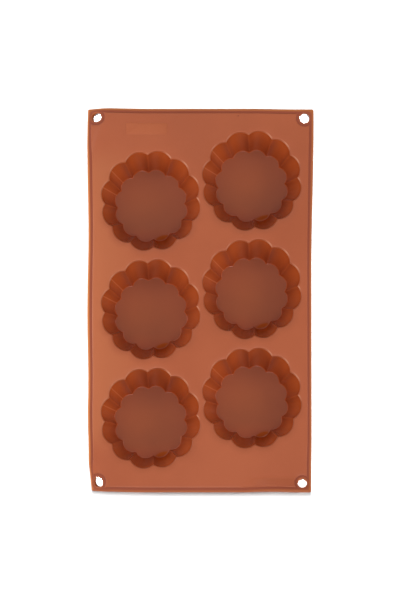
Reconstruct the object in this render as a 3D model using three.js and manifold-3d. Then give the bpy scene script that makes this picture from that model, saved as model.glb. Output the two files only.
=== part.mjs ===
// A flexible silicone baking sheet with six fluted cups, lying on its cup bases with the mouths up.
// Millimetres, +Z up. The origin is under the middle of the sheet, on the surface that the cups stand on.
// +X runs across the two columns of cups, and +Y runs along them.
// The real sheet is one moulding. It is split here into the zones that a toolmaker would name.

import * as THREE from "three";
import { mergeVertices } from "three/addons/utils/BufferGeometryUtils.js";
import Module from "manifold-3d";

const wasm = await Module();
wasm.setup();

// Cups. A cup's outline is a ring of round flutes, measured across their crowns.
const mouthDiameter = 79;
const mouthFluteRadius = 11.95;
const floorDiameter = 58.2;
const floorFluteRadius = 8.25;
const cavityDepth = 35;
const fluteCount = 12;
const fluteTurn = THREE.MathUtils.degToRad(18.8); // direction of one crown, from +X
const wallThickness = 1.6;
const baseThickness = 2;
const mouthEdgeRadius = 1;
const baseEdgeRadius = 1;

// Layout of the two columns of cups, which stand side by side with the right one further along +Y.
const cupsPerColumn = 3;
const rowLand = 6.4; // deck between two cups of one column
const columnLand = 1.56; // deck between two cups side by side
const columnStagger = 15.8;
const columnsAside = 0.6; // the cups stand a little off the middle of the sheet, towards +X
const sideMargin = 8.5; // from a cup's mouth to the long edge of the sheet, taken over both sides
const endMargin = 17.2; // from a cup's mouth to the short edge of the sheet

// Deck, and the thicker band that borders it a step lower.
const deckThickness = 2;
const bandWidth = 3.4;
const bandThickness = 3;
const bandDrop = 0.5;
const sheetCornerRadius = 2;

// Corner eyelets, each in a round pad of the band.
const holeDiameter = 7.5;
const holeInset = 7; // from the hole's centre to both edges of the sheet
const eyeletWall = 1.4;
const eyeletEdge = 0.5;
const padLand = 1.25; // band left around the eyelet

// Bare label plate, let into the deck near one corner.
const labelLength = 32;
const labelWidth = 9.25;
const labelThickness = 0.5;
const labelRecess = 0.25;
const labelFromSide = 29.3; // from the long edge of the sheet to the plate
const labelFromEnd = 11.25; // from the short edge of the sheet to the plate

const seam = 0.1; // clearance where two zones meet edge to edge
const cutOver = 1; // how far a cutting solid runs past the face that it cuts

// Facets of the curved faces
const facetsPerFlute = 6;
const edgeFacets = 2;
const arcFacets = 24; // of a whole eyelet, and of each arc in a flat outline

// Sizes that follow from those above
const deckTop = baseThickness + cavityDepth;
const deckBottom = deckTop - deckThickness;
const bandBottom = deckTop - bandDrop - bandThickness;
const rowPitch = mouthDiameter + rowLand;
const columnSpacing = Math.sqrt((mouthDiameter + columnLand) ** 2 - columnStagger ** 2);
const sheetWidth = columnSpacing + mouthDiameter + 2 * sideMargin;
const sheetLength = (cupsPerColumn - 1) * rowPitch + columnStagger + mouthDiameter + 2 * endMargin;
const mouthRingRadius = mouthDiameter / 2 - mouthFluteRadius;
const floorRingRadius = floorDiameter / 2 - floorFluteRadius;
const eyeletRadius = holeDiameter / 2 + eyeletWall;
const padRadius = eyeletRadius + padLand;

const siliconeColour = 0xb0603f;
const bandColour = 0x9a5240;

function silicone(colour) {
  return new THREE.MeshStandardMaterial({ color: colour, roughness: 0.45, metalness: 0 });
}

function named(name, geometry, colour = siliconeColour) {
  const mesh = new THREE.Mesh(geometry, silicone(colour));
  mesh.name = name;
  return mesh;
}

// Solids for cutting and joining

function toSolid(geometry) {
  const bare = geometry.clone();
  bare.deleteAttribute("normal");
  bare.deleteAttribute("uv");
  const merged = mergeVertices(bare);
  return new wasm.Manifold(
    new wasm.Mesh({
      numProp: 3,
      vertProperties: new Float32Array(merged.attributes.position.array),
      triVerts: new Uint32Array(merged.index.array),
    }),
  );
}

function toGeometry(solid) {
  const mesh = solid.getMesh();
  const geometry = new THREE.BufferGeometry();
  geometry.setAttribute("position", new THREE.BufferAttribute(mesh.vertProperties, 3));
  geometry.setIndex(new THREE.BufferAttribute(mesh.triVerts, 1));
  geometry.computeVertexNormals();
  return geometry;
}

// Fluted outlines

// Distance from the cup's axis to a ring of flutes, in a direction measured from a crown.
function fluteReach(ringRadius, fluteRadius, fromCrown) {
  const sideways = ringRadius * Math.sin(fromCrown);
  return ringRadius * Math.cos(fromCrown) + Math.sqrt(Math.max(fluteRadius ** 2 - sideways ** 2, 0));
}

// The cavity's outline at a height, moved outwards by an offset, as a closed ring of points.
function cupOutline(height, offset) {
  const share = (height - baseThickness) / cavityDepth;
  const pointCount = fluteCount * facetsPerFlute;
  const points = [];
  for (let i = 0; i < pointCount; i++) {
    const fluteShare = (i % facetsPerFlute) / facetsPerFlute - 0.5; // starts at a cusp
    const fromCrown = (fluteShare * 2 * Math.PI) / fluteCount;
    const angle = fluteTurn + ((i / facetsPerFlute - 0.5) * 2 * Math.PI) / fluteCount;
    const reach = THREE.MathUtils.lerp(
      fluteReach(floorRingRadius, floorFluteRadius + offset, fromCrown),
      fluteReach(mouthRingRadius, mouthFluteRadius + offset, fromCrown),
      share,
    );
    points.push(new THREE.Vector3(reach * Math.cos(angle), reach * Math.sin(angle), height));
  }
  return points;
}

// A closed solid through a stack of rings around the Z axis, lowest first, with a fan over each end.
function loft(rings) {
  const around = rings[0].length;
  const positions = rings.flat().flatMap((point) => point.toArray());
  positions.push(0, 0, rings[0][0].z, 0, 0, rings[rings.length - 1][0].z);
  const bottomMiddle = rings.length * around;
  const topMiddle = bottomMiddle + 1;
  const lastRing = (rings.length - 1) * around;
  const triangles = [];
  for (let i = 0; i < around; i++) {
    const next = (i + 1) % around;
    for (let low = 0; low < lastRing; low += around) {
      triangles.push(low + i, low + next, low + around + next);
      triangles.push(low + i, low + around + next, low + around + i);
    }
    triangles.push(bottomMiddle, next, i);
    triangles.push(topMiddle, lastRing + i, lastRing + next);
  }
  const geometry = new THREE.BufferGeometry();
  geometry.setAttribute("position", new THREE.Float32BufferAttribute(positions, 3));
  geometry.setIndex(triangles);
  return geometry;
}

// Cups

// The hollow of a cup, rounded out over the mouth's edge and carried on past the deck.
function cavity() {
  const rings = [cupOutline(baseThickness, 0)];
  for (let step = 0; step <= edgeFacets; step++) {
    const turn = ((step / edgeFacets) * Math.PI) / 2;
    const height = deckTop - mouthEdgeRadius * (1 - Math.sin(turn));
    rings.push(cupOutline(height, mouthEdgeRadius * (1 - Math.cos(turn))));
  }
  const flare = rings[rings.length - 1];
  rings.push(flare.map((point) => point.clone().setZ(deckTop + cutOver)));
  return loft(rings);
}

// The fluted wall, from the base up to the underside of the deck.
function cupWall() {
  const blank = loft([cupOutline(baseThickness, wallThickness), cupOutline(deckBottom, wallThickness)]);
  return toGeometry(toSolid(blank).subtract(toSolid(cavity())));
}

// The flat base that the wall stands on, with its lower edge rounded.
function cupBase() {
  const rings = [];
  for (let step = 0; step <= edgeFacets; step++) {
    const turn = ((step / edgeFacets) * Math.PI) / 2;
    const height = baseEdgeRadius * (1 - Math.cos(turn));
    rings.push(cupOutline(height, wallThickness - baseEdgeRadius * (1 - Math.sin(turn))));
  }
  rings.push(cupOutline(baseThickness, wallThickness));
  return loft(rings);
}

// Every cup's name and centre, from the far end of each column.
function cupPlaces() {
  const places = [];
  for (const [column, side] of [["left", -1], ["right", 1]]) {
    for (let row = 0; row < cupsPerColumn; row++) {
      const fromMiddle = (cupsPerColumn - 1) / 2 - row;
      places.push({
        name: `${column}_${row + 1}`,
        x: columnsAside + (side * columnSpacing) / 2,
        y: fromMiddle * rowPitch + (side * columnStagger) / 2,
      });
    }
  }
  return places;
}

function cup(place) {
  const group = new THREE.Group();
  group.position.set(place.x, place.y, 0);
  group.add(named(`cup_wall_${place.name}`, cupWall()));
  group.add(named(`cup_base_${place.name}`, cupBase()));
  return group;
}

// Deck and border

// The four hole centres, counter-clockwise from the near right corner.
function holePlaces() {
  const x = sheetWidth / 2 - holeInset;
  const y = sheetLength / 2 - holeInset;
  return [
    { name: "near_right", x, y: -y },
    { name: "far_right", x, y },
    { name: "far_left", x: -x, y },
    { name: "near_left", x: -x, y: -y },
  ];
}

// The line between deck and band: straight at an inset from the sheet's edges, and round the corner pads.
function drawFrameLine(path, inset, radius) {
  const lean = Math.asin((holeInset - inset) / radius);
  holePlaces().forEach((place, corner) => {
    const quarter = (corner * Math.PI) / 2;
    path.absarc(place.x, place.y, radius, Math.PI + lean + quarter, Math.PI / 2 - lean + quarter, true);
  });
  path.closePath();
  return path;
}

// An arc gets two facets for every curve segment.
function extruded(shape, depth) {
  return new THREE.ExtrudeGeometry(shape, { depth, bevelEnabled: false, curveSegments: arcFacets / 2 });
}

function sheetOutline() {
  const x = sheetWidth / 2 - sheetCornerRadius;
  const y = sheetLength / 2 - sheetCornerRadius;
  const shape = new THREE.Shape();
  shape.absarc(x, -y, sheetCornerRadius, -Math.PI / 2, 0);
  shape.absarc(x, y, sheetCornerRadius, 0, Math.PI / 2);
  shape.absarc(-x, y, sheetCornerRadius, Math.PI / 2, Math.PI);
  shape.absarc(-x, -y, sheetCornerRadius, Math.PI, Math.PI * 1.5);
  shape.closePath();
  return shape;
}

function labelPlace() {
  return new THREE.Vector3(
    -sheetWidth / 2 + labelFromSide + labelLength / 2,
    sheetLength / 2 - labelFromEnd - labelWidth / 2,
    deckTop - labelRecess - labelThickness / 2,
  );
}

function labelPocket() {
  const depth = labelRecess + labelThickness;
  const pocket = new THREE.BoxGeometry(labelLength + 2 * seam, labelWidth + 2 * seam, depth + cutOver);
  const place = labelPlace();
  return pocket.translate(place.x, place.y, deckTop - depth + (depth + cutOver) / 2);
}

// The flat sheet between the cups, opened at every mouth.
function deckSheet() {
  const outline = drawFrameLine(new THREE.Shape(), bandWidth + seam, padRadius + seam);
  const plate = extruded(outline, deckThickness).translate(0, 0, deckBottom);
  let deck = toSolid(plate).subtract(toSolid(labelPocket()));
  for (const place of cupPlaces()) {
    deck = deck.subtract(toSolid(cavity().translate(place.x, place.y, 0)));
  }
  return toGeometry(deck);
}

// The border around the deck, with a seat for each eyelet.
function borderBand() {
  const shape = sheetOutline();
  shape.holes.push(drawFrameLine(new THREE.Path(), bandWidth, padRadius));
  for (const place of holePlaces()) {
    shape.holes.push(new THREE.Path().absarc(place.x, place.y, eyeletRadius + seam, 0, 2 * Math.PI));
  }
  return extruded(shape, bandThickness);
}

// The ring around a hanging hole, with the hole's edges broken.
function cornerEyelet() {
  const bore = holeDiameter / 2;
  const profile = [
    [bore + eyeletEdge, 0],
    [eyeletRadius, 0],
    [eyeletRadius, bandThickness],
    [bore + eyeletEdge, bandThickness],
    [bore, bandThickness - eyeletEdge],
    [bore, eyeletEdge],
    [bore + eyeletEdge, 0],
  ].map(([radius, height]) => new THREE.Vector2(radius, height));
  return new THREE.LatheGeometry(profile, arcFacets).rotateX(Math.PI / 2);
}

const mould = new THREE.Group();
mould.name = "fluted_cup_baking_sheet";

mould.add(named("deck_sheet", deckSheet()));

const labelPlate = named("label_plate", new THREE.BoxGeometry(labelLength, labelWidth, labelThickness));
labelPlate.position.copy(labelPlace());
mould.add(labelPlate);

const border = new THREE.Group();
border.position.z = bandBottom;
border.add(named("border_band", borderBand(), bandColour));
for (const place of holePlaces()) {
  const eyelet = named(`corner_eyelet_${place.name}`, cornerEyelet(), bandColour);
  eyelet.position.set(place.x, place.y, 0);
  border.add(eyelet);
}
mould.add(border);

for (const place of cupPlaces()) {
  mould.add(cup(place));
}

export default mould;
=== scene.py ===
import math

import bmesh
import bpy
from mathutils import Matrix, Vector


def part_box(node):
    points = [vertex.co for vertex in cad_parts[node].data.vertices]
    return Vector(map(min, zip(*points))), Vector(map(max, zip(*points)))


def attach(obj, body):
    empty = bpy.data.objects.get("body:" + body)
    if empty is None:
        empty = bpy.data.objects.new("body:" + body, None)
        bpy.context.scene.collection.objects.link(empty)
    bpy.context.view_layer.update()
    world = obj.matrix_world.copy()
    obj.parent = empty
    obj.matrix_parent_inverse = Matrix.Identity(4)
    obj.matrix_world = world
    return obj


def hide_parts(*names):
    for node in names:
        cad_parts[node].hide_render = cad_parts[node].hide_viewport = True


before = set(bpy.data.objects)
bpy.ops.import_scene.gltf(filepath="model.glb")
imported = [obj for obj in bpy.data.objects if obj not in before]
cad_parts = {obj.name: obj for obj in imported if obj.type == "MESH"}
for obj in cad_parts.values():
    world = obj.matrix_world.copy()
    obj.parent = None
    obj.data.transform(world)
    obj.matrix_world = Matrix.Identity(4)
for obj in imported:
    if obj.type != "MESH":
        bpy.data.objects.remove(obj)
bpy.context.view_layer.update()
scene = bpy.context.scene
print("frame loaded:", len(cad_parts), "nodes")

# heights and outlines that the frame gives
sheetLow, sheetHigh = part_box("border_band")
deckLow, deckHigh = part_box("deck_sheet")
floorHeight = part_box("cup_base_left_1")[1].z
deckTop = deckHigh.z
deckBottom = deckLow.z

# degrees round from +X to the sheet's far, left and near sides
farWay = 90
leftWay = 180
nearWay = 270


def middle(node):
    low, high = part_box(node)
    return (low + high) / 2


def clamp(share):
    return min(max(share, 0), 1)


def ease(value, start, end):
    share = clamp((value - start) / (end - start))
    return share * share * (3 - 2 * share)


def towards(around, up=0):
    # a direction, from degrees round and degrees up
    around, up = math.radians(around), math.radians(up)
    return Vector((math.cos(around) * math.cos(up), math.sin(around) * math.cos(up), math.sin(up)))


cornerNames = ("near_right", "far_right", "far_left", "near_left")
holes = {name: middle("corner_eyelet_" + name) for name in cornerNames}


# camera and light

view = {
    "lens": 400,            # mm, long enough to flatten the perspective
    "sensor": 36,           # mm
    "elevation": 84,        # degrees above the sheet, from its near end
    "frameHeight": 0.4685,  # metres of the deck that fill the picture from top to bottom
    "aim": (-0.0004, -0.00075),
}


def aimed(name, data, target, direction, distance):
    # a camera or lamp that looks at the target from a direction
    placed = bpy.data.objects.new(name, data)
    placed.location = target + direction * distance
    placed.rotation_mode = "QUATERNION"
    placed.rotation_quaternion = direction.to_track_quat("Z", "Y")
    scene.collection.objects.link(placed)
    return placed


def makeCamera():
    data = bpy.data.cameras.new("viewCamera")
    data.lens = view["lens"]
    data.sensor_width = view["sensor"]
    aim = Vector((*view["aim"], deckTop))
    distance = view["frameHeight"] * view["lens"] / view["sensor"]
    scene.camera = aimed("viewCamera", data, aim, towards(nearWay, view["elevation"]), distance)


studio = {
    "skyStrength": 0.25,
    "boxes": [
        # name, from (degrees round, degrees up), distance, width, power
        ("leftBox", (183, 22), 0.45, 0.2, 1.08),
        ("rightBox", (0, 42), 0.9, 0.25, 1.5),
        ("rightLowBox", (340, 22), 0.9, 0.25, 2.1),
        ("nearBox", (278, 42), 2.2, 0.62, 9.4),
        ("farLeftBox", (150, 42), 0.9, 0.25, 0.52),
        ("nearTopBox", (270, 65), 1.6, 0.45, 4.7),
        ("farTopBox", (105, 62), 0.9, 0.25, 0.42),
    ],
    "floorSize": 14,
    "floorGap": 0.0002,     # the floor lies a hair under the cup bases
    "floorGlow": 0.08,      # share of the floor that shows as plain white to the camera
    "floorTone": (0.45, 0.45, 0.45, 1),
    "floorLamp": 830,       # a lamp overhead for the floor alone, for the shadow under the near edge
    "floorLampLean": 1.6,   # degrees towards the near end
    "floorLampHeight": 6,
    "floorLampSize": (0.1, 0.72),
    "holeLamp": 60,         # narrow lamps that shine through the corner holes onto the floor
    "holeLampHeight": 0.5,
    "holeLampSpread": 1,    # degrees
    "holeLampSize": 0.001,
}


def makeLights():
    for name, (around, up), distance, width, power in studio["boxes"]:
        data = bpy.data.lights.new(name, "AREA")
        data.shape = "SQUARE"
        data.size = width
        data.energy = power
        aimed(name, data, Vector((0, 0, deckTop)), towards(around, up), distance)


# node helper: a Wire is one output socket, and sums on wires become Math nodes

class Wire:
    def __init__(self, tree, socket=None):
        self.tree = tree
        self.socket = socket

    def add(self, kind, settings=None, inputs=None, output=0):
        node = self.tree.nodes.new(kind)
        for key, value in (settings or {}).items():
            setattr(node, key, value)
        for key, value in (inputs or {}).items():
            if isinstance(value, Wire):
                self.tree.links.new(value.socket, node.inputs[key])
            else:
                node.inputs[key].default_value = value
        return Wire(self.tree, node.outputs[output] if len(node.outputs) else None)

    def math(self, operation, first, second=0.0):
        return self.add("ShaderNodeMath", {"operation": operation}, {0: first, 1: second})

    def __add__(self, other):
        return self.math("ADD", self, other)

    def __sub__(self, other):
        return self.math("SUBTRACT", self, other)

    def __mul__(self, other):
        return self.math("MULTIPLY", self, other)

    def __rsub__(self, other):
        return self.math("SUBTRACT", other, self)

    __radd__ = __add__
    __rmul__ = __mul__


def newTree(name):
    material = bpy.data.materials.new(name)
    material.use_nodes = True
    material.node_tree.nodes.clear()
    return material, Wire(material.node_tree)


def noiseOn(place, size, detail=2.0, roughness=0.6):
    return place.add("ShaderNodeTexNoise", None,
                     {"Vector": place, "Scale": 1 / size, "Detail": detail, "Roughness": roughness})


def mixTone(factor, first, second):
    return factor.add("ShaderNodeMix", {"data_type": "RGBA"}, {0: factor, 6: first, 7: second}, output=2)


def fade(value, start, end):
    return value.add("ShaderNodeMapRange", {"interpolation_type": "SMOOTHSTEP"},
                     {"Value": value, "From Min": start, "From Max": end})


def straightRays(start):
    # 1 for what the camera sees, straight on or through gloss and glass
    camera, glossy, glass = (start.add("ShaderNodeLightPath", output=name)
                             for name in ("Is Camera Ray", "Is Glossy Ray", "Is Transmission Ray"))
    return start.math("MINIMUM", camera + glossy + glass, 1.0)


def makeFloor():
    bm = bmesh.new()
    bmesh.ops.create_grid(bm, x_segments=1, y_segments=1, size=studio["floorSize"] / 2)
    bmesh.ops.translate(bm, verts=bm.verts[:], vec=(0, 0, -studio["floorGap"]))
    mesh = bpy.data.meshes.new("studioFloor")
    bm.to_mesh(mesh)
    bm.free()
    floor = bpy.data.objects.new("studioFloor", mesh)
    scene.collection.objects.link(floor)
    material, start = newTree("studioWhite")
    lit = start.add("ShaderNodeBsdfDiffuse", None, {"Color": studio["floorTone"]})
    plain = start.add("ShaderNodeEmission", None, {"Strength": 1.0})
    glow = straightRays(start) * studio["floorGlow"]
    shader = start.add("ShaderNodeMixShader", None, {0: glow, 1: lit, 2: plain})
    start.add("ShaderNodeOutputMaterial", None, {"Surface": shader})
    mesh.materials.append(material)
    return floor


def makeFloorLamps(floor):
    lit = bpy.data.collections.new("floorOnly")
    lit.objects.link(floor)
    data = bpy.data.lights.new("floorLamp", "AREA")
    data.shape = "RECTANGLE"
    data.size, data.size_y = studio["floorLampSize"]
    data.energy = studio["floorLamp"]
    direction = towards(nearWay, 90 - studio["floorLampLean"])
    lamps = [aimed("floorLamp", data, Vector(), direction, studio["floorLampHeight"])]
    direction = towards(nearWay, view["elevation"])
    for name, centre in holes.items():
        data = bpy.data.lights.new("holeLamp_" + name, "SPOT")
        data.energy = studio["holeLamp"]
        data.spot_size = math.radians(studio["holeLampSpread"])
        data.shadow_soft_size = studio["holeLampSize"]
        lamps.append(aimed("holeLamp_" + name, data, centre, direction, studio["holeLampHeight"]))
    for lamp in lamps:
        lamp.light_linking.receiver_collection = lit


def makeSky():
    world = bpy.data.worlds.new("studioSky")
    world.use_nodes = True
    world.node_tree.nodes.clear()
    start = Wire(world.node_tree)
    strength = straightRays(start) * (1 - studio["skyStrength"]) + studio["skyStrength"]
    glow = start.add("ShaderNodeBackground", None, {"Color": (1, 1, 1, 1), "Strength": strength})
    start.add("ShaderNodeOutputWorld", None, {"Surface": glow})
    scene.world = world


makeCamera()
makeLights()
makeFloorLamps(makeFloor())
makeSky()
scene.view_settings.view_transform = "Standard"
print("studio ready")


# silicone finishes

sharedFinish = {
    "cloudSize": 0.045,       # metres, soft clouds of tone
    "speckSize": 0.0011,
    "speckShare": 0.25,       # of the tone, and the clouds have the rest
    "shadeFrom": (0.3, 0.7),
    "roughness": 0.4,
    "roughChange": 0.1,       # how far the clouds and the specks change the roughness
    "speckChange": 0.06,
    "grainSize": 0.0006,
    "grainDepth": 0.000008,
    "gloss": 0.5,
    "ior": 1.45,
}


def moulded(place, finish):
    # tone, roughness and surface height, made in one way for every zone of the moulding
    cloud = noiseOn(place, finish["cloudSize"], 3.0, 0.5)
    speck = noiseOn(place, finish["speckSize"])
    shade = cloud * (1 - finish["speckShare"]) + speck * finish["speckShare"]
    tone = mixTone(fade(shade, *finish["shadeFrom"]), finish["deepTone"], finish["paleTone"])
    rough = finish["roughness"] + (cloud - 0.5) * finish["roughChange"]  # noise lies round 0.5
    rough = rough + (speck - 0.5) * finish["speckChange"]
    height = noiseOn(place, finish["grainSize"]) * finish["grainDepth"]
    return tone, rough, height


def silicone(start, finish, tone, rough, height):
    bump = start.add("ShaderNodeBump", None, {"Distance": 1.0, "Height": height})
    shader = start.add("ShaderNodeBsdfPrincipled", None,
                       {"Base Color": tone, "Roughness": rough, "Normal": bump,
                        "IOR": finish["ior"], "Specular IOR Level": finish["gloss"]})
    start.add("ShaderNodeOutputMaterial", None, {"Surface": shader})


def objectPlace(start):
    return start.add("ShaderNodeTexCoord", output="Object")


def reachFrom(place, centre):
    return place.add("ShaderNodeVectorMath", {"operation": "DISTANCE"}, {0: place, 1: centre}, output="Value")


def along(place, around):
    # how far a place lies in a direction in the sheet's plane
    return place.add("ShaderNodeVectorMath", {"operation": "DOT_PRODUCT"}, {0: place, 1: towards(around)},
                     output="Value")


def accentOf(start):
    # the share of a painted tone (glint, glow, highlight, shade, reflection) that a piece's points carry,
    # where below 0 stands for a second one
    return start.add("ShaderNodeAttribute", {"attribute_name": "accent"}, output="Fac")


def cupPlace(start):
    # the place from its own cup's middle, in the sheet's plane
    local = start.add("ShaderNodeAttribute", {"attribute_name": "fromCup"}, output="Vector")
    return start.add("ShaderNodeVectorMath", {"operation": "MULTIPLY"}, {0: local, 1: (1, 1, 0)})


deckFinish = {
    **sharedFinish,
    "deepTone": (0.352, 0.0745, 0.021, 1),
    "paleTone": (0.388, 0.086, 0.026, 1),
    "paintedGlintTone": (0.62, 0.26, 0.15, 1),       # painted highlight: glints along the rounded edge of a mouth
    "nearPaintedShading": (0.325, 0.069, 0.0195, 1),  # painted shade: the deck is darker on the near side of a mouth
    "leftPaintedSheen": (0.412, 0.107, 0.035, 1),   # painted sheen: the curled left side is paler, where it faces the left lamp
    "leftFrom": (0.025, 0.085),             # metres left of the middle over which that comes in
    "leftEnds": (0.125, 0.1),               # and along the sheet, where it goes at both ends
}


def deckSilicone():
    material, start = newTree("siliconeDeck")
    place = objectPlace(start)
    tone, rough, height = moulded(place, deckFinish)
    # painted sheen on the left side of the deck, faded out towards both ends
    awayFromEnds = fade(start.math("ABSOLUTE", along(place, farWay)), *deckFinish["leftEnds"])
    onLeft = fade(along(place, leftWay), *deckFinish["leftFrom"]) * awayFromEnds
    tone = mixTone(onLeft, tone, deckFinish["leftPaintedSheen"])
    accent = accentOf(start)
    # painted glints along the mouth edges
    tone = mixTone(accent, tone, deckFinish["paintedGlintTone"])
    # painted shade on the deck beside each mouth's near side
    tone = mixTone(0 - accent, tone, deckFinish["nearPaintedShading"])
    silicone(start, deckFinish, tone, rough, height)
    return material


bandFinish = {
    **sharedFinish,
    "deepTone": (0.252, 0.051, 0.02, 1),
    "paleTone": (0.278, 0.057, 0.023, 1),
    "paintedRimGlow": (0.58, 0.175, 0.037, 1),  # painted glow and highlight: the band's thin free edge is paler
    "roughness": 0.62,
    "gloss": 0.4,
    "grainDepth": 0.000012,
}


def bandSilicone():
    material, start = newTree("siliconeBand")
    tone, rough, height = moulded(objectPlace(start), bandFinish)
    # painted glow along the band's free edge
    tone = mixTone(accentOf(start), tone, bandFinish["paintedRimGlow"])
    silicone(start, bandFinish, tone, rough, height)
    return material


labelFinish = {
    **sharedFinish,
    "deepTone": (0.375, 0.084, 0.023, 1),
    "paleTone": (0.405, 0.094, 0.029, 1),
    "roughness": 0.48,
    "grainSize": 0.00035,
    "grainDepth": 0.000014,
}


def labelSilicone():
    material, start = newTree("siliconeLabel")
    silicone(start, labelFinish, *moulded(objectPlace(start), labelFinish))
    return material


wallFinish = {
    **sharedFinish,
    "deepTone": (0.385, 0.068, 0.0128, 1),
    "paleTone": (0.415, 0.0755, 0.0145, 1),
    "ridgePaintedShade": (0.325, 0.054, 0.0104, 1),  # painted shade beside a ridge
    "edgePaintedShading": (0.46, 0.12, 0.052, 1),      # painted highlight: the wall is paler where it meets the floor
    "paintedStreakTone": (0.52, 0.13, 0.042, 1),      # painted reflections: two thin pale streaks down the left flutes of each cup
    "lines": ((59.5, 0.00468), (78.9, 0.00307)),  # the way that each looks, and its gap from the cup's middle
    "lineReach": (0.0006, 0.0001),
    "lineFrom": (0.015, 0.018),
    "gloss": 0.3,
    "roughness": 0.24,
    "roughChange": 0.02,
    "speckChange": 0,
    "grainDepth": 0.0000003,
}


def wallSilicone():
    material, start = newTree("siliconeCupWall")
    tone, rough, height = moulded(objectPlace(start), wallFinish)
    accent = accentOf(start)
    # painted shade beside the ridges
    tone = mixTone(accent, tone, wallFinish["ridgePaintedShade"])
    # painted highlight on the edge round the floor's near side
    tone = mixTone(0 - accent, tone, wallFinish["edgePaintedShading"])
    local = cupPlace(start)
    onLeft = fade(along(local, leftWay), *wallFinish["lineFrom"])
    # painted reflection streaks down the left flutes
    for way, gap in wallFinish["lines"]:
        aside = start.math("ABSOLUTE", along(local, way) - gap)
        tone = mixTone(fade(aside, *wallFinish["lineReach"]) * onLeft, tone, wallFinish["paintedStreakTone"])
    silicone(start, wallFinish, tone, rough, height)
    return material


floorFinish = {
    **sharedFinish,
    "deepTone": (0.345, 0.073, 0.0125, 1),
    "paleTone": (0.385, 0.083, 0.0158, 1),
    "roughness": 0.38,
    "edgePaintedShading": (0.3, 0.058, 0.0095, 1),    # painted shade: a floor is darker away from its middle
    "edgeCentre": (-0.003, -0.012, 0),
    "edgeFrom": (0.008, 0.041),
    "nearPaintedShading": (0.455, 0.086, 0.0155, 1),  # and painted light: lighter and warmer along its near side
    "nearFrom": (0.014, 0.03),
    "paintedReflectionTone": (0.5, 0.105, 0.012, 1),     # a small matt patch at each floor's near edge, its tone a painted reflection
    "bareCentre": (0.0117, -0.0344, 0),
    "bareReach": (0.0118, 0.0106),
    "bareRoughness": 1.0,
}


def floorSilicone():
    material, start = newTree("siliconeCupFloor")
    tone, rough, height = moulded(objectPlace(start), floorFinish)
    local = cupPlace(start)
    # painted shade towards the floor's edge
    outward = fade(reachFrom(local, floorFinish["edgeCentre"]), *floorFinish["edgeFrom"])
    tone = mixTone(outward, tone, floorFinish["edgePaintedShading"])
    # painted light along the floor's near side, where the wall's shade falls
    tone = mixTone(fade(along(local, nearWay), *floorFinish["nearFrom"]), tone, floorFinish["nearPaintedShading"])
    # a matt patch with a painted reflection in its tone
    mattReflectionPatch = fade(reachFrom(local, floorFinish["bareCentre"]), *floorFinish["bareReach"]) * accentOf(start)
    tone = mixTone(mattReflectionPatch, tone, floorFinish["paintedReflectionTone"])
    rough = rough + (floorFinish["bareRoughness"] - rough) * mattReflectionPatch
    silicone(start, floorFinish, tone, rough, height)
    return material


materials = {
    "deck": deckSilicone(),
    "band": bandSilicone(),
    "label": labelSilicone(),
    "wall": wallSilicone(),
    "floor": floorSilicone(),
}
print("finishes ready:", len(materials))


# the soft sheet's own set: its corners and left side hang a little, and its deck isn't quite flat

corners = [
    # which corner, the way that it bends, its slope in degrees, where the bend starts, how far it turns over,
    # the share of its flat length that it keeps in plan, and its shift in the sheet's plane
    {"at": (-1, 1), "way": 163, "slope": 42, "start": 0.0175, "curl": 0.009, "stretch": 0.95,
     "shift": (-0.0004, 0.0006)},
    {"at": (-1, -1), "way": 214, "slope": 38, "start": 0.0165, "curl": 0.005, "stretch": 0.15,
     "shift": (0.0005, 0.0005)},
    {"at": (1, -1), "way": 272, "slope": -26, "start": 0.013, "curl": 0.003, "stretch": 0,
     "shift": (-0.0004, -0.0011)},
    {"at": (1, 1), "way": 80, "slope": -4, "start": 0.018, "curl": 0.006, "stretch": 0,
     "shift": (0.0002, -0.0005)},
]
bending = {
    "reach": (0.03, 0.055),        # a corner's bend fades out over this, from the corner
    "shiftReach": (0.012, 0.045),  # and its shift over this
    "from": 0.9,                   # share of the height above which the corners bend
    "cuts": 5,
}
leftSide = {
    "reach": 0.0135,         # width of the strip that hangs along the left edge
    "curl": 0.006,           # width over which it turns down
    "slope": 9,
    "from": (0.075, 0.115),  # the slope fades out towards the corners
}
edges = {
    "margin": 0.0085,        # beside the cups, the edges wander only outside them
    "cornerMargin": 0.03,
    "cornerFrom": (0.112, 0.135),
    "left": -0.0005,
    "leftNear": 0.001,
    "leftFrom": (0.09, 0.112),
    "ripple": 0.0004,        # a slow ripple along the left edge
    "rippleLength": 0.115,
    "rippleStart": 0.0065,
    "rightFar": 0.0009,
    "rightNear": -0.0009,
    "rightFrom": (0.02, 0.13),
    "near": -0.0012,
    "nearMargin": 0.016,
}
wave = {
    "height": 0.0003,
    "lengths": (0.23, 0.31),  # across and along the sheet
    "phases": (0.6, 1.9),
    "shares": (0.5, 1),
    "grid": 0.0125,           # a flat face is cut this finely to take the wave
}
meshing = {
    "merge": 1e-7,
    "sliver": 1e-6,
    "upright": 0.9,           # a face whose normal rises more than this is a top face
    "sharpAngle": 38,
}


def bendLine(bend):
    corner = Vector((sheetHigh.x * bend["at"][0], sheetHigh.y * bend["at"][1], 0))
    return corner, towards(bend["way"])


def bent(point, moved, bend):
    corner, outward = bendLine(bend)
    past = (point - corner).dot(outward) + bend["start"]
    if past <= 0:
        return moved
    slope = math.radians(bend["slope"]) * (1 - ease((point.xy - corner.xy).length, *bending["reach"]))
    if slope == 0:
        return moved
    radius = bend["curl"] / slope
    turned = min(past, bend["curl"])
    turn = turned / radius
    straight = past - turned
    out = radius * math.sin(turn) + straight * math.cos(slope)
    out += (past - out) * bend["stretch"]
    drop = radius * (1 - math.cos(turn)) + straight * math.sin(slope)
    lift = moved.z - deckBottom
    moved = moved + outward * (out + lift * math.sin(turn) - past)
    moved.z = deckBottom - drop + lift * math.cos(turn)
    return moved


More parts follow.
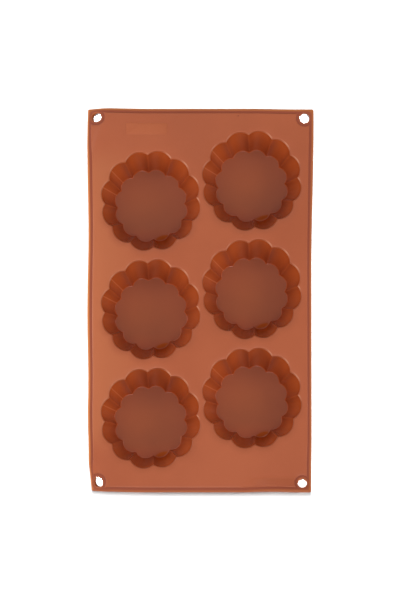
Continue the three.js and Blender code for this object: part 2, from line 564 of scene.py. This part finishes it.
def bendShift(point, bend):
    corner = bendLine(bend)[0]
    return Vector((*bend["shift"], 0)) * (1 - ease((point.xy - corner.xy).length, *bending["shiftReach"]))


def settled(point):
    # a cup's base stays where it is, and the deck takes the whole set
    share = clamp((point.z - floorHeight) / (deckBottom - floorHeight))
    moved = point.copy()
    for place, length, phase, part in zip(point.xy, wave["lengths"], wave["phases"], wave["shares"]):
        moved.z += wave["height"] * share * part * math.sin(2 * math.pi * place / length + phase)
    # the left strip turns down over its curl, then runs straight
    past = max(leftSide["reach"] - (point.x - sheetLow.x), 0)
    turned = min(past, leftSide["curl"])
    drop = turned * turned / (2 * leftSide["curl"]) + past - turned
    fadeOut = 1 - ease(abs(point.y), *leftSide["from"])
    moved.z -= share * fadeOut * math.tan(math.radians(leftSide["slope"])) * drop
    # the free edges wander a little in the sheet's plane
    atEnds = ease(abs(point.y), *edges["cornerFrom"])
    inner = sheetHigh.x - edges["margin"] - (edges["cornerMargin"] - edges["margin"]) * atEnds
    rippleTurn = 2 * math.pi * (point.y + edges["rippleStart"]) / edges["rippleLength"]
    wander = edges["left"] + edges["leftNear"] * ease(-point.y, *edges["leftFrom"])
    wander -= edges["ripple"] * math.cos(rippleTurn)
    moved.x += share * ease(-point.x, inner, sheetHigh.x) * wander
    farShare = ease(point.y, *edges["rightFrom"])
    wander = edges["rightNear"] + (edges["rightFar"] - edges["rightNear"]) * farShare
    moved.x += share * ease(point.x, inner, sheetHigh.x) * wander
    moved.y += share * ease(-point.y, sheetHigh.y - edges["nearMargin"], sheetHigh.y) * edges["near"]
    if share > bending["from"]:
        for bend in corners:
            moved = bent(point, moved, bend)
            moved += bendShift(point, bend)
    return moved


def cutForBends(bm):
    for bend in corners:
        corner, outward = bendLine(bend)
        for step in range(bending["cuts"] + 1):
            plane = corner - outward * (bend["start"] - bend["curl"] * step / bending["cuts"])
            parts = bm.verts[:] + bm.edges[:] + bm.faces[:]
            bmesh.ops.bisect_plane(bm, geom=parts, dist=meshing["merge"], plane_co=plane, plane_no=outward)


def cutForWave(bm, spacing=wave["grid"], topOnly=False):
    faces = [face for face in bm.faces if face.normal.z > meshing["upright"] or not topOnly]
    parts = list(dict.fromkeys(part for face in faces for part in (*face.verts, *face.edges, face)))
    for axis, size in ((Vector((1, 0, 0)), sheetHigh.x), (Vector((0, 1, 0)), sheetHigh.y)):
        count = int(2 * size / spacing)
        for step in range(1, count):
            plane = axis * (-size + 2 * size * step / count)
            cut = bmesh.ops.bisect_plane(bm, geom=parts, dist=meshing["merge"], plane_co=plane, plane_no=axis)
            parts = cut["geom"]


def finishPiece(name, bm, material, node, centre=None, accent=None):
    bmesh.ops.remove_doubles(bm, verts=bm.verts[:], dist=meshing["merge"])
    bmesh.ops.dissolve_degenerate(bm, edges=bm.edges[:], dist=meshing["sliver"])
    bmesh.ops.recalc_face_normals(bm, faces=bm.faces[:])
    for face in bm.faces:
        face.smooth = True
    for edge in bm.edges:
        edge.smooth = edge.calc_face_angle(0) < math.radians(meshing["sharpAngle"])
    if centre:
        layer = bm.verts.layers.float_vector.new("fromCup")
        for vert in bm.verts:
            vert[layer] = vert.co - centre
    if accent:
        layer = bm.verts.layers.float.new("accent")
        for vert in bm.verts:
            vert[layer] = accent(vert.co)
    for vert in bm.verts:
        vert.co = settled(vert.co)
    mesh = bpy.data.meshes.new(name)
    bm.to_mesh(mesh)
    bm.free()
    mesh.materials.append(material)
    piece = bpy.data.objects.new(name, mesh)
    scene.collection.objects.link(piece)
    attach(piece, "root")
    if node:
        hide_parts(node)


def skinRings(bm, rings, closed=False):
    # the rings' points are in step, so each pair of rings is joined point by point
    following = rings[1:] + (rings[:1] if closed else [])
    for first, second in zip(rings, following):
        for i, vert in enumerate(first):
            bm.faces.new((first[i - 1], vert, second[i], second[i - 1]))


def solidRings(bm, rings):
    skinRings(bm, rings)
    bm.faces.new(rings[0])
    bm.faces.new(rings[-1])


def ringSides(bm, ring):
    return [bm.edges.get((ring[i - 1], vert)) for i, vert in enumerate(ring)]


def fillFlats(bm, topSides, underSides):
    bmesh.ops.triangle_fill(bm, use_beauty=True, edges=topSides, normal=(0, 0, 1))
    bmesh.ops.triangle_fill(bm, use_beauty=True, edges=underSides, normal=(0, 0, -1))


def roundOver(steps):
    # shares (sideways, up) along a quarter round that starts level and ends upright
    turns = [step / steps * math.pi / 2 for step in range(steps + 1)]
    return [(math.sin(turn), 1 - math.cos(turn)) for turn in turns]


# cups

cup = {
    "flutes": 12,
    "crownTurn": 18.8,           # degrees from +X to one crown
    "mouthDiameter": 0.079,      # across the crowns, at the deck
    "mouthFlute": 0.01195,       # radius of one flute at the mouth
    "mouthStretch": 1.012,       # a soft mouth stands a little longer along the sheet
    "mouthEdge": 0.0003,
    "floorDiameter": 0.0582,
    "floorFlute": 0.00825,
    "floorEdge": 0.0006,
    "floorSag": 0.0002,
    "floorRings": (0.08, 0.3, 0.5, 0.7, 0.85),  # shares of the way out from a floor's middle
    "wall": 0.0016,
    "wallSteps": 4,
    "underEdge": 0.0005,         # rounding where the wall meets the deck's underside
    "underSteps": 3,
    "baseEdge": 0.001,
    "ridge": 0.0006,             # rounding of the ridge between two flutes
    "stepsPerFlute": 16,
    "edgeSteps": 5,
}
cupTones = {
    "ridgeShade": (0.35, 0.95),  # shares of a half flute over which the painted shade beside a ridge comes in
    "ridgeCrest": (0.86, 1.0),   # and over which it weakens again at the ridge's own line
    "crestShare": 0.5,
    "floorGlow": (-0.1, 0.7),    # sines, the painted highlight on the edge comes in from the far to the near side
    "glowHeight": (0.4, 1),      # shares of the edge's rounding over which it goes
    "topFrom": (0.5, 0.85),      # shares of a base's thickness, the matt patch and its painted reflection are on the top side only
}
halfFlute = math.pi / cup["flutes"]


def fluteReach(ring, flute, fromCrown):
    fromRidge = halfFlute - abs(fromCrown)
    ridge = cup["ridge"]
    seat = Vector((ring * math.cos(halfFlute), ring * math.sin(halfFlute)))  # flute's centre, from the ridge
    ridgeCentre = seat.x + math.sqrt((flute + ridge) ** 2 - seat.y ** 2)
    touch = seat.lerp(Vector((ridgeCentre, 0)), flute / (flute + ridge))
    if fromRidge < math.atan2(touch.y, touch.x):
        aside = ridgeCentre * math.sin(fromRidge)
        return ridgeCentre * math.cos(fromRidge) - math.sqrt(ridge ** 2 - aside ** 2)
    aside = ring * math.sin(fromCrown)
    return ring * math.cos(fromCrown) + math.sqrt(flute ** 2 - aside ** 2)


def cupShare(height):
    return (height - floorHeight) / (deckTop - floorHeight)


def cupReach(height, offset, fromCrown):
    reaches = []
    for end in ("floor", "mouth"):
        flute = cup[end + "Flute"]
        reaches.append(fluteReach(cup[end + "Diameter"] / 2 - flute, flute + offset, fromCrown))
    atFloor, atMouth = reaches
    return atFloor + (atMouth - atFloor) * cupShare(height)


def fromCrownOf(turn):
    return (turn - math.radians(cup["crownTurn"]) + halfFlute) % (2 * halfFlute) - halfFlute


def cupRing(bm, centre, height, offset, shrink=1.0):
    # a ring of points round a cup, offset from its inner face
    steps = cup["stepsPerFlute"]
    stretch = 1 + (cup["mouthStretch"] - 1) * clamp(cupShare(height))
    verts = bmesh.ops.create_circle(bm, segments=cup["flutes"] * steps, radius=1)["verts"]
    for i, vert in enumerate(verts):
        flute, step = divmod(i, steps)
        # the points lie closer together at a ridge
        fromCrown = halfFlute * math.sin((2 * step / steps - 1) * math.pi / 2)
        turn = math.radians(cup["crownTurn"]) + 2 * halfFlute * flute + fromCrown
        reach = cupReach(height, offset, fromCrown) * shrink
        vert.co = centre + Vector((reach * math.cos(turn), reach * math.sin(turn) * stretch, height))
    return verts


def makeCupWall(name, centre):
    bm = bmesh.new()
    edge, under, wall, steps = cup["floorEdge"], cup["underEdge"], cup["wall"], cup["wallSteps"]
    heights = [floorHeight + (deckBottom - floorHeight) * (step / steps) for step in range(steps + 1)]
    profile = [(floorHeight + edge * up, edge * (side - 1)) for side, up in roundOver(cup["edgeSteps"])]
    profile += [(height, 0) for height in heights[1:]]
    profile += [(deckBottom - under * up, wall + under * (1 - side))
                for side, up in roundOver(cup["underSteps"])]
    profile += [(height, wall) for height in reversed(heights[:-1])]
    skinRings(bm, [cupRing(bm, centre, *ring) for ring in profile], closed=True)

    def wallPaintedShading(point):
        # above 0 for painted shade beside a ridge, below 0 for a painted highlight on the edge round the
        # floor's near side
        spoke = (point - centre).xy
        turn = math.atan2(spoke.y, spoke.x)
        fromCrown = fromCrownOf(turn)
        share = abs(fromCrown) / halfFlute
        crest = cupTones["crestShare"] * ease(share, *cupTones["ridgeCrest"])
        ridge = ease(share, *cupTones["ridgeShade"]) * (1 - crest)
        inside = spoke.length < cupReach(point.z, wall / 2, fromCrown)
        atFloor = inside * (1 - ease((point.z - floorHeight) / edge, *cupTones["glowHeight"]))
        return ridge * (1 - atFloor) - atFloor * ease(-math.sin(turn), *cupTones["floorGlow"])

    finishPiece("cupWall_" + name, bm, materials["wall"], "cup_wall_" + name,
                centre, wallPaintedShading)


def makeCupBase(name, centre):
    bm = bmesh.new()
    edge, wall = cup["baseEdge"], cup["wall"]
    profile = [(floorHeight - cup["floorSag"] * (1 - share ** 2), 0, share) for share in cup["floorRings"]]
    profile += [(floorHeight, -cup["floorEdge"]), (floorHeight, wall)]
    profile += [(edge * up, wall - edge * (1 - side)) for side, up in reversed(roundOver(cup["edgeSteps"]))]
    solidRings(bm, [cupRing(bm, centre, *ring) for ring in profile])

    def topSide(point):
        return ease(point.z / floorHeight, *cupTones["topFrom"])

    finishPiece("cupBase_" + name, bm, materials["floor"], "cup_base_" + name,
                centre, topSide)


cupNames = [f"{column}_{row}" for column in ("left", "right") for row in (1, 2, 3)]
cupCentres = {}
for name in cupNames:
    wallMiddle = middle("cup_wall_" + name)
    cupCentres[name] = Vector((wallMiddle.x, wallMiddle.y, 0))
    makeCupWall(name, cupCentres[name])
    makeCupBase(name, cupCentres[name])
print("cups made:", len(cupNames))


# deck and label

deck = {
    "band": 0.0034,          # width of the border band outside the deck
    "pad": 0.0064,           # radius of the band's pad round a corner hole
    "edge": 0.0004,
    "edgeSteps": 3,
    "hold": 0.0003,          # flat ring kept round each mouth
    "arcSteps": 20,
}
lips = {
    "reach": 0.0028,         # the deck rolls down a little towards each mouth
    "drop": 0.00024,
    "grid": 0.0025,
    "slack": 1e-6,
    "glows": {40: 0.8, 140: 0.35},  # the ways out of its flute where a mouth's edge carries a painted glint, and its shares
    "focus": 18,
    "nearReach": 0.0055,     # the painted shade beside a mouth fades out over this
    "nearWay": 272,
    "nearFrom": (0, 0.6),    # cosines from that way, over which the painted shade comes in
}
label = {
    "edge": 0.00005,
    "edgeSteps": 3,
    "recess": 0.00005,
    "gap": 0.00002,
    "corner": 0.0004,
}


def arcRing(bm, arcs, height):
    # a closed line of arcs, each (centre, radius, start, sweep), joined by straight runs
    runs = []
    for centre, radius, start, sweep in arcs:
        x, y = centre.x + radius * math.cos(start), centre.y + radius * math.sin(start)
        first = bm.verts.new((x, y, height))
        before = set(bm.verts)
        bmesh.ops.spin(bm, geom=[first], cent=(centre.x, centre.y, height), axis=(0, 0, 1), angle=sweep,
                       steps=deck["arcSteps"])
        rest = [vert for vert in bm.verts if vert not in before]
        runs.append([first] + rest)
    for run, following in zip(runs, runs[1:] + runs[:1]):
        bm.edges.new((run[-1], following[0]))
    return [vert for run in runs for vert in run]


def roundedRing(bm, low, high, grow, corner, height):
    # a box's outline with rounded corners, from its near right one round to its near left one
    x0, x1 = low.x - grow + corner, high.x + grow - corner
    y0, y1 = low.y - grow + corner, high.y + grow - corner
    quarter = math.pi / 2
    arcs = [(Vector(place), corner, (turn - 1) * quarter, quarter)
            for turn, place in enumerate(((x1, y0), (x1, y1), (x0, y1), (x0, y0)))]
    return arcRing(bm, arcs, height)


def frameLine(bm, inset, pad, height):
    # the line between deck and band, which runs round the inner side of each corner pad
    fromEdge = sheetHigh.x - holes["near_right"].x
    lean = math.asin((fromEdge - inset) / pad)
    quarter = math.pi / 2
    arcs = [(centre, pad, 2 * quarter + lean + turn * quarter, -(quarter + 2 * lean))
            for turn, centre in enumerate(holes.values())]
    return arcRing(bm, arcs, height)


def labelOutline(bm, grow, height):
    low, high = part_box("label_plate")
    return roundedRing(bm, low, high, grow, label["corner"], height)


def fromMouth(point):
    # the gap to the nearest mouth, and the ways that the point lies from its flute's and its cup's middle
    fluteRing = cup["mouthDiameter"] / 2 - cup["mouthFlute"]
    gaps = []
    for centre in cupCentres.values():
        spoke = point.xy - centre.xy
        spoke.y /= cup["mouthStretch"]
        turn = math.atan2(spoke.y, spoke.x)
        fromCrown = fromCrownOf(turn)
        local = spoke - towards(math.degrees(turn - fromCrown)).xy * fluteRing
        gap = spoke.length - cupReach(deckTop, 0, fromCrown)
        gaps.append((gap, math.atan2(local.y, local.x), turn))
    return min(gaps)


def mouthGlintAndShade(point):
    # above 0 for the painted glint on the mouth's edge, below 0 for the painted shade on its near side
    gap, facing, turn = fromMouth(point)
    inLip = 1 - ease(gap, cup["mouthEdge"], cup["mouthEdge"] + deck["hold"])
    glint = sum(glow * max(math.cos(facing - math.radians(way)), 0) ** lips["focus"]
              for way, glow in lips["glows"].items())
    # painted shade beside the mouth's near side
    beside = 1 - clamp(gap / lips["nearReach"])
    return inLip * glint - beside * ease(math.cos(turn - math.radians(lips["nearWay"])), *lips["nearFrom"])


def rollLips(bm):
    for vert in bm.verts:
        if vert.co.z > deckTop - cup["mouthEdge"] - lips["slack"]:
            share = 1 - clamp(fromMouth(vert.co)[0] / lips["reach"])
            vert.co.z -= lips["drop"] * share ** 2


def makeDeck():
    bm = bmesh.new()
    sides = []
    for side, up in roundOver(deck["edgeSteps"]):
        inset = deck["edge"] * (1 - side)
        sides.append(frameLine(bm, deck["band"] + inset, deck["pad"] + inset, deckTop - deck["edge"] * up))
    sides.append(frameLine(bm, deck["band"], deck["pad"], deckBottom))
    skinRings(bm, sides)
    topSides, underSides = ringSides(bm, sides[0]), ringSides(bm, sides[-1])
    edge = cup["mouthEdge"]
    profile = [(deckTop, edge + deck["hold"])]
    profile += [(deckTop - edge * up, edge * (1 - side)) for side, up in roundOver(cup["edgeSteps"])]
    profile += [(deckBottom, 0)]
    for centre in cupCentres.values():
        rings = [cupRing(bm, centre, *ring) for ring in profile]
        skinRings(bm, rings)
        topSides += ringSides(bm, rings[0])
        underSides += ringSides(bm, rings[-1])
    pocket = labelOutline(bm, label["gap"], deckTop)
    sunk = labelOutline(bm, label["gap"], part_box("label_plate")[0].z)
    skinRings(bm, [pocket, sunk])
    bm.faces.new(sunk)
    topSides += ringSides(bm, pocket)
    fillFlats(bm, topSides, underSides)
    cutForBends(bm)
    cutForWave(bm)
    bm.normal_update()
    cutForWave(bm, lips["grid"], topOnly=True)
    rollLips(bm)
    finishPiece("deckSheet", bm, materials["deck"], "deck_sheet", accent=mouthGlintAndShade)


def makeLabel():
    bm = bmesh.new()
    edge = label["edge"]
    top = deckTop - label["recess"]
    rings = [labelOutline(bm, 0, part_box("label_plate")[0].z)]
    rings += [labelOutline(bm, -edge * up, top - edge * (1 - side))
              for side, up in roundOver(label["edgeSteps"])]
    solidRings(bm, rings)
    cutForWave(bm)
    finishPiece("labelTablet", bm, materials["label"], "label_plate")


makeDeck()
makeLabel()
print("deck and label made")


# border band and eyelets

band = {
    "corner": 0.0014,
    "edge": 0.0009,
    "edgeSteps": 5,
    "rim": (0.0009, 0.0019),     # the band's outer line that carries the painted rim glow
    # shares of the painted rim glow by side, most on the left side, which faces the left lamp
    "rimGlowShares": {"left": 1.0, "right": 0.5, "far": 0.72, "near": 0.32},
}
eyelet = {
    "ring": 0.0014,
    "edge": 0.00035,
    "edgeSteps": 4,
    "glow": 0.4,                 # share of the painted rim glow round the bore
    "glowReach": 0.0007,
}
circleSteps = 48


def circleRing(bm, centre, radius, height):
    verts = bmesh.ops.create_circle(bm, segments=circleSteps, radius=radius)["verts"]
    bmesh.ops.translate(bm, verts=verts, vec=(centre.x, centre.y, height))
    return verts


def sheetLine(bm, inset, height):
    return roundedRing(bm, sheetLow, sheetHigh, -inset, band["corner"] - inset, height)


def eyeletRadius(name):
    low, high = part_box("corner_eyelet_" + name)
    return (high.x - low.x) / 2


def makeBand():
    bm = bmesh.new()
    low, top, edge = sheetLow.z, sheetHigh.z, band["edge"]
    rounding = roundOver(band["edgeSteps"])
    outer = [sheetLine(bm, edge * (1 - side), top - edge * up) for side, up in rounding]
    outer += [sheetLine(bm, edge * (1 - side), low + edge * up) for side, up in reversed(rounding)]
    skinRings(bm, outer)
    inner = [frameLine(bm, deck["band"], deck["pad"], z) for z in (top, low)]
    skinRings(bm, inner)
    topSides = ringSides(bm, outer[0]) + ringSides(bm, inner[0])
    underSides = ringSides(bm, outer[-1]) + ringSides(bm, inner[-1])
    for name, centre in holes.items():
        seat = [circleRing(bm, centre, eyeletRadius(name), z) for z in (top, low)]
        skinRings(bm, seat)
        topSides += ringSides(bm, seat[0])
        underSides += ringSides(bm, seat[1])
    fillFlats(bm, topSides, underSides)
    cutForBends(bm)
    cutForWave(bm)

    # painted rim glow, by the side of the sheet
    def rim(point):
        insets = {"left": sheetHigh.x + point.x, "right": sheetHigh.x - point.x,
                  "far": sheetHigh.y - point.y, "near": sheetHigh.y + point.y}
        side = min(insets, key=insets.get)
        return band["rimGlowShares"][side] * (1 - ease(insets[side], *band["rim"]))

    finishPiece("borderBand", bm, materials["band"], "border_band", accent=rim)


def makeEyelet(name, centre):
    bm = bmesh.new()
    low, top, edge = sheetLow.z, sheetHigh.z, eyelet["edge"]
    rounding = roundOver(eyelet["edgeSteps"])
    outer = eyeletRadius(name)
    bore = outer - eyelet["ring"]
    profile = [(outer, low), (outer, top)]
    profile += [(bore + edge * (1 - side), top - edge * up) for side, up in rounding]
    profile += [(bore + edge * (1 - side), low + edge * up) for side, up in reversed(rounding)]
    skinRings(bm, [circleRing(bm, centre, radius, z) for radius, z in profile], closed=True)

    # painted glow round the bore
    def rim(point):
        out = math.hypot(point.x - centre.x, point.y - centre.y)
        return eyelet["glow"] * (1 - ease(out, bore, bore + eyelet["glowReach"]))

    finishPiece("cornerEyelet_" + name, bm, materials["band"], "corner_eyelet_" + name,
                accent=rim)


makeBand()
for name, centre in holes.items():
    makeEyelet(name, centre)
print("border made")


# gate mark

gate = {
    "place": (0.0295, 0.1442),
    "radius": 0.0006,
    "height": 0.00012,
    "shoulder": 0.4,         # share of the height where it starts to draw in
    "crown": 0.7,            # share of the radius that its top keeps
}


def makeGateMark():
    bm = bmesh.new()
    centre = Vector(gate["place"])
    radius, height = gate["radius"], gate["height"]
    profile = [(radius, deckTop - height),
               (radius, deckTop + height * gate["shoulder"]),
               (radius * gate["crown"], deckTop + height)]
    solidRings(bm, [circleRing(bm, centre, out, z) for out, z in profile])
    finishPiece("gateMark", bm, materials["band"], None)


makeGateMark()
print("gate mark made")
